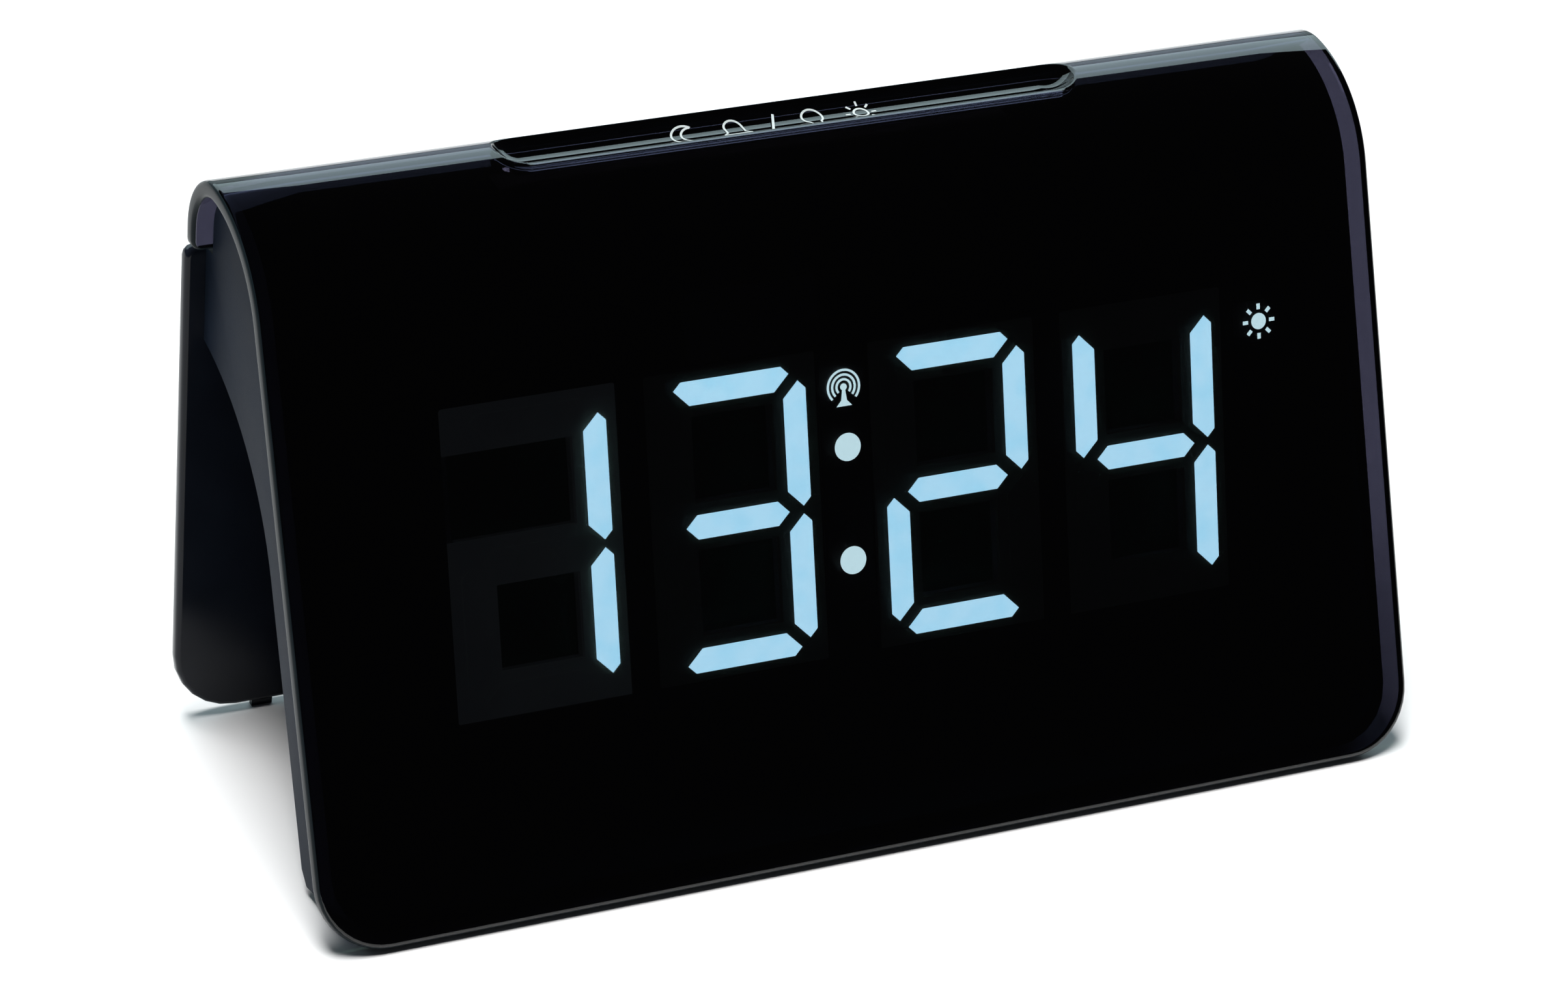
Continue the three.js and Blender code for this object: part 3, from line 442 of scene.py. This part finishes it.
def sheet_mesh(name, rows, columns):
    """The lens's closed skin: outside, inside and a rounded edge all round."""
    half = CLOCK_WIDTH / 2
    stations = [("low", (step / CORNER_STEPS - 1) * math.pi / 2) for step in range(CORNER_STEPS + 1)]
    stations += [("row", along) for along in rows]
    stations += [("high", step / TAIL_STEPS * math.pi / 2) for step in range(TAIL_STEPS + 1)]

    def outline(station, inset):
        kind, value = station
        if kind == "low":
            reach = LENS_CORNER - inset
            return LENS_CORNER + reach * math.sin(value), half - LENS_CORNER + reach * math.cos(value)
        if kind == "high":
            reach = LENS_TAIL_CORNER - inset
            along = lens_length - LENS_TAIL_CORNER + reach * math.sin(value)
            return along, half - LENS_TAIL_CORNER + reach * math.cos(value)
        return value, half - inset

    rings = []
    for step in range(EDGE_STEPS + 1):
        angle = step / EDGE_STEPS * math.pi / 2
        rings.append((LENS_EDGE * (1 - math.sin(angle)), LENS_EDGE * (1 - math.cos(angle))))
    rings += [(inset, LENS_THICKNESS - depth) for inset, depth in reversed(rings)]
    shell = bmesh.new()
    seen = {}

    def corner(x, along, depth):
        key = (round(x, 4), round(along, 4), round(depth, 4))
        if key not in seen:
            seen[key] = shell.verts.new(lens_surface(x, along, depth))
        return seen[key]

    def quad(points, flip, edge):
        verts = [corner(*point) for point in (reversed(points) if flip else points)]
        if len(set(verts)) == 4:
            face = shell.faces.new(verts)
            face.material_index = 1 if edge else 0

    last = len(stations) - 1
    for side, flip in ((rings[0], False), (rings[-1], True)):
        for row in range(last):
            low, low_half = outline(stations[row], side[0])
            high, high_half = outline(stations[row + 1], side[0])
            low_xs = [-low_half, *columns, low_half]
            high_xs = [-high_half, *columns, high_half]
            for place_in_row in range(len(low_xs) - 1):
                quad([
                    (low_xs[place_in_row], low, side[1]),
                    (low_xs[place_in_row + 1], low, side[1]),
                    (high_xs[place_in_row + 1], high, side[1]),
                    (high_xs[place_in_row], high, side[1]),
                ], flip, False)
    for ring in range(len(rings) - 1):
        near, far = rings[ring], rings[ring + 1]
        edge = ring in EDGE_RINGS
        for row in range(last):
            near_low, near_low_half = outline(stations[row], near[0])
            near_high, near_high_half = outline(stations[row + 1], near[0])
            far_low, far_low_half = outline(stations[row], far[0])
            far_high, far_high_half = outline(stations[row + 1], far[0])
            for sign in (1, -1):
                quad([
                    (sign * near_low_half, near_low, near[1]),
                    (sign * far_low_half, far_low, far[1]),
                    (sign * far_high_half, far_high, far[1]),
                    (sign * near_high_half, near_high, near[1]),
                ], sign < 0, edge)
        for end, flip in ((0, False), (last, True)):
            near_along, near_half = outline(stations[end], near[0])
            far_along, far_half = outline(stations[end], far[0])
            near_xs = [-near_half, *columns, near_half]
            far_xs = [-far_half, *columns, far_half]
            for place_in_row in range(len(near_xs) - 1):
                quad([
                    (near_xs[place_in_row], near_along, near[1]),
                    (far_xs[place_in_row], far_along, far[1]),
                    (far_xs[place_in_row + 1], far_along, far[1]),
                    (near_xs[place_in_row + 1], near_along, near[1]),
                ], flip, edge)
    mesh = bpy.data.meshes.new(name)
    shell.to_mesh(mesh)
    shell.free()
    return mesh


lens_rows = [
    *even(LENS_CORNER, face_length, 6), face_length,
    *even(face_length, dish_front, 28), dish_front,
    *even(dish_front, dish_rear, 42), dish_rear,
    *even(dish_rear, rear_at, 14), rear_at,
    *even(rear_at, lens_length - LENS_TAIL_CORNER, 2),
]
spine = DISH_HALF_LENGTH - DISH_HALF_WIDTH
end_columns = [0, *even(0, spine, 6), spine]
end_columns += [spine + DISH_HALF_WIDTH * step / DISH_END_STEPS for step in range(1, DISH_END_STEPS + 1)]
end_columns += [spine + DISH_HALF_WIDTH * part for part in PAST_DISH] + OUTER_COLUMNS
lens_columns = [-x for x in reversed(end_columns[1:])] + end_columns
lens = new_object("lens", sheet_mesh("lens", lens_rows, lens_columns))
lens.data.materials.append(looks["lens"])
lens.data.materials.append(looks["lens_edge"])
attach(lens, "case")
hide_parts("lens_shell")


# ---- lit segments ----
SEGMENTS = {
    "a": (0, 1, False), "g": (0, 0, False), "d": (0, -1, False),
    "f": (-1, 0.5, True), "b": (1, 0.5, True), "e": (-1, -0.5, True), "c": (1, -0.5, True),
}
DIGITS = {"1": "bc", "2": "abged", "3": "abgcd", "4": "fgbc"}
SHOWN = "1324"


def prism(shell, outline, low, high, at):
    """Adds a closed flat-sided pad: an outline pushed out from one height to another."""
    bottom = [shell.verts.new(at(x, y, low)) for x, y in outline]
    top = [shell.verts.new(at(x, y, high)) for x, y in outline]
    shell.faces.new(list(reversed(bottom)))
    shell.faces.new(top)
    count = len(outline)
    for index in range(count):
        after = (index + 1) % count
        shell.faces.new([bottom[index], bottom[after], top[after], top[index]])


def piece(name, build, look, body="case", smooth=False):
    shell = bmesh.new()
    build(shell)
    mesh = bpy.data.meshes.new(name)
    shell.to_mesh(mesh)
    shell.free()
    item = new_object(name, mesh, smooth)
    mesh.materials.append(looks[look])
    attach(item, body)
    return item


def segment_outline(x, y, length, upright, outward):
    """A bar with mitred ends whose tips lean towards the outside of the numeral."""
    half = length / 2
    side = SEGMENT_WIDTH / 2
    tip = outward * side / 3
    points = [
        (-half, tip), (side + tip - half, -side), (half - side - tip, -side),
        (half, tip), (half - side + tip, side), (side - tip - half, side),
    ]
    if upright:
        return [(x + across, y + along) for along, across in reversed(points)]
    return [(x + along, y + across) for along, across in points]


def lit_digit(centre, segments):
    def build(shell):
        for segment in segments:
            column, row, upright = SEGMENTS[segment]
            x = centre + column * DIGIT_HALF_WIDTH
            y = row * DIGIT_HALF_HEIGHT
            shorter = OUTER_SHORTER if row else MIDDLE_SHORTER
            length = DIGIT_HALF_HEIGHT - SEGMENT_GAP if upright else 2 * DIGIT_HALF_WIDTH - shorter
            outline = segment_outline(x, y, length, upright, column if upright else row)
            prism(shell, outline, RELIEF, RELIEF + GLOW, display_point)
    return build


digit_centres = [-DIGIT_GAP / 2 - DIGIT_PITCH, -DIGIT_GAP / 2, DIGIT_GAP / 2, DIGIT_GAP / 2 + DIGIT_PITCH]
for index, (centre, numeral) in enumerate(zip(digit_centres, SHOWN)):
    piece(f"lit_numeral_{index + 1}", lit_digit(centre, DIGITS[numeral]), "lit")


def disc(x, y, radius, count=40):
    angles = [index * (2 * math.pi / count) for index in range(count)]
    return [(x + radius * math.cos(angle), y + radius * math.sin(angle)) for angle in angles]


def lit_dots(shell):
    for y in DOT_HEIGHTS:
        prism(shell, disc(DOT_X, y, DOT_RADIUS), RELIEF, RELIEF + GLOW, display_point)


piece("lit_colon", lit_dots, "lit_signs")


# ---- picture signs ----
def arc(x, y, radius, start, end, count=16):
    angles = [math.radians(start + (end - start) * step / count) for step in range(count + 1)]
    return [(x + radius * math.cos(angle), y + radius * math.sin(angle)) for angle in angles]


def stroke(shell, line, width, low, high, at, closed=False):
    """Adds a closed band of even width that follows a line, standing between two heights."""
    count = len(line)
    sides = []
    for index in range(count):
        before = line[index - 1] if closed or index else line[0]
        after = line[(index + 1) % count] if closed or index + 1 < count else line[-1]
        run = Vector((after[0] - before[0], after[1] - before[1])).normalized() * (width / 2)
        x, y = line[index]
        sides.append(((x - run.y, y + run.x), (x + run.y, y - run.x)))
    rings = []
    for (left_x, left_y), (right_x, right_y) in sides:
        corners = [
            (left_x, left_y, low), (left_x, left_y, high),
            (right_x, right_y, high), (right_x, right_y, low),
        ]
        rings.append([shell.verts.new(at(*corner)) for corner in corners])
    for index in range(count if closed else count - 1):
        near, far = rings[index], rings[(index + 1) % count]
        for side in range(4):
            after = (side + 1) % 4
            shell.faces.new([near[side], far[side], far[after], near[after]])
    if not closed:
        shell.faces.new(rings[0])
        shell.faces.new(list(reversed(rings[-1])))


def mast_sign(shell):
    low, high = RELIEF, RELIEF + GLOW
    tower = [(-1.15, 13.3), (1.15, 13.3), (0.42, 14.1), (0.22, 15.5), (-0.22, 15.5), (-0.42, 14.1)]
    prism(shell, tower, low, high, display_point)
    prism(shell, disc(0, MAST_CENTRE, 0.48, 20), low, high, display_point)
    for radius in MAST_WAVES:
        wave = arc(0, MAST_CENTRE, radius, -42, 222, 28)
        stroke(shell, wave, MAST_WAVE_WIDTH, low, high, display_point)


def sun_sign(shell):
    low, high = RELIEF, RELIEF + GLOW
    x, y = SIGN_AT
    near, far = SIGN_RAY
    prism(shell, disc(x, y, SIGN_RADIUS, 28), low, high, display_point)
    for ray in range(8):
        angle = ray * math.pi / 4
        dx, dy = math.cos(angle), math.sin(angle)
        line = [(x + near * dx, y + near * dy), (x + far * dx, y + far * dy)]
        stroke(shell, line, SIGN_RAY_WIDTH, low, high, display_point)


piece("lit_mast_sign", mast_sign, "lit_signs")
piece("lit_sun_sign", sun_sign, "lit_signs")


def on_dish(x, y, out):
    return lens_surface(x, dish_at + y, -out)


def on_back(x, along, out):
    """Marks on the back read from behind, so x runs the other way."""
    return leg_point(-x, BAND + along, out)


def printed(lines, at):
    """A sign printed in thin lines; each line is its points, whether it closes, and its width."""
    def build(shell):
        for line, closed, width in lines:
            stroke(shell, line, width, PRINT_LOW, PRINT_HIGH, at, closed)
    return build


def moon(x, y, size):
    outer = arc(x, y, size, 55, 305, 22)
    inner = arc(x + 0.5 * size, y, 0.82 * size, 272, 88, 18)
    return [(outer + inner, True, PRINT_LINE)]


def bell(x, y, size):
    dome = [(x - size, y - 0.6 * size), (x - 0.62 * size, y - 0.3 * size)]
    dome += arc(x, y + 0.3 * size, 0.62 * size, 180, 0, 12)
    dome += [(x + 0.62 * size, y - 0.3 * size), (x + size, y - 0.6 * size)]
    clapper = arc(x, y - 0.7 * size, 0.28 * size, 200, 340, 6)
    return [(dome, True, PRINT_LINE), (clapper, False, PRINT_LINE)]


def bulb(x, y, size):
    glass = arc(x, y + 0.25 * size, 0.68 * size, -55, 235, 20)
    collar = [(x - 0.3 * size, y - 0.65 * size), (x + 0.3 * size, y - 0.65 * size)]
    cap = [(x - 0.22 * size, y - 0.95 * size), (x + 0.22 * size, y - 0.95 * size)]
    return [(glass + collar, True, PRINT_LINE), (cap, False, PRINT_LINE)]


def rays(x, y, near, far, count):
    made = []
    for ray in range(count):
        angle = 2 * math.pi * ray / count
        dx, dy = math.cos(angle), math.sin(angle)
        line = [(x + near * dx, y + near * dy), (x + far * dx, y + far * dy)]
        made.append((line, False, PRINT_LINE))
    return made


def sun(x, y, size):
    return [(disc(x, y, 0.45 * size, 18), True, PRINT_LINE)] + rays(x, y, 0.68 * size, size, 8)


slash = [([(-2.9, -1.8), (-1.1, 2.4)], False, SLASH_LINE)]
dish_lines = moon(-14.8, 0.4, 2.1) + bell(-7.6, 0.4, 2.1) + slash
dish_lines += bulb(4.2, 0.3, 2.2) + sun(11.4, 0.3, 2.3)
piece("snooze_light_signs", printed(dish_lines, on_dish), "print")


def back_signs():
    """Signs over the keys, from the alarm key to the setting key, and over the slide switch."""
    y = BACK_SIGNS_UP
    xs = [-(KEY_FIRST_X + key * KEY_PITCH) for key in range(5)]
    lines = bell(xs[0], y, 0.95)
    lines += [(arc(xs[1], y - 0.7, radius, 35, 145, 10), False, FINE_LINE) for radius in (0.6, 1.15, 1.7)]
    lines += [([(xs[2] - 0.9, y + 0.5), (xs[2], y - 0.6), (xs[2] + 0.9, y + 0.5)], False, PRINT_LINE)]
    lines += [([(xs[3] - 0.9, y - 0.5), (xs[3], y + 0.6), (xs[3] + 0.9, y - 0.5)], False, PRINT_LINE)]
    lines += [(disc(xs[4], y, 0.55, 16), True, FINE_LINE)] + rays(xs[4], y, 0.75, 1.1, 6)
    lines += sun(-SLIDER_X - SWITCH_SIGN_APART, y - 0.2, 1.0)
    lines += moon(-SLIDER_X + SWITCH_SIGN_APART, y - 0.2, 0.85)
    return lines


piece("back_signs", printed(back_signs(), on_back), "print")

# ---- floor, light, camera ----
floor_mesh = bpy.data.meshes.new("floor")
FLOOR_REACH = 6.0
floor_signs = ((-1, -1), (1, -1), (1, 1), (-1, 1))
floor_corners = [(x * FLOOR_REACH, y * FLOOR_REACH, 0) for x, y in floor_signs]
floor_mesh.from_pydata(floor_corners, [], [(0, 1, 2, 3)])
floor = new_object("floor", floor_mesh, False)
floor_look, floor_tree, floor_shader = material("floor_pale")
floor_clouds = noise(floor_tree, 3.0)
floor_tone = ramp(floor_tree, floor_clouds, (0.86, 0.86, 0.86), (0.88, 0.88, 0.88))
link(floor_tree, floor_tone, "Color", floor_shader, "Base Color")
floor_shader.inputs["Roughness"].default_value = 0.6
floor_mesh.materials.append(floor_look)


def softbox(name, at, aim, width, height, power, colour, mirrored=True):
    light = bpy.data.lights.new(name, "AREA")
    light.shape = "RECTANGLE"
    light.size = width
    light.size_y = height
    light.energy = power
    light.color = colour
    item = bpy.data.objects.new(name, light)
    item.location = at
    item.visible_glossy = mirrored
    item.rotation_mode = "QUATERNION"
    item.rotation_quaternion = (Vector(aim) - Vector(at)).to_track_quat("-Z", "Y")
    bpy.context.scene.collection.objects.link(item)


softbox("back_light", (0.5, 1.7, 1.0), (0.0, 0.0, 0.04), 4.0, 0.85, 24, (0.72, 0.94, 1.0))
softbox("low_back_light", (0.5, 1.95, 0.34), (0.0, 0.0, 0.04), 4.0, 0.5, 4, (0.72, 0.94, 1.0))
softbox("high_light", (-0.3, 0.35, 2.4), (-0.3, 0.2, 0.0), 0.9, 1.3, 100, (1.0, 1.0, 1.0), False)

world = bpy.data.worlds.new("studio")
world.use_nodes = True
world.node_tree.nodes["Background"].inputs["Color"].default_value = (0.02, 0.02, 0.022, 1)
bpy.context.scene.world = world
bpy.context.scene.view_settings.view_transform = "Standard"

camera = bpy.data.cameras.new("camera")
camera.lens = CAMERA_LENS
camera.sensor_width = 36
camera_item = bpy.data.objects.new("camera", camera)
heading = math.radians(CAMERA_HEADING)
drop = math.radians(CAMERA_DROP)
turn = Matrix.Rotation(-heading, 4, "Z") @ Matrix.Rotation(math.pi / 2 - drop, 4, "X")
turn = turn @ Matrix.Rotation(math.radians(CAMERA_ROLL), 4, "Z")
camera_item.matrix_world = Matrix.Translation(place(*CAMERA_AT)) @ turn
camera.clip_start = 0.05
camera.clip_end = 30
bpy.context.scene.collection.objects.link(camera_item)
bpy.context.scene.camera = camera_item
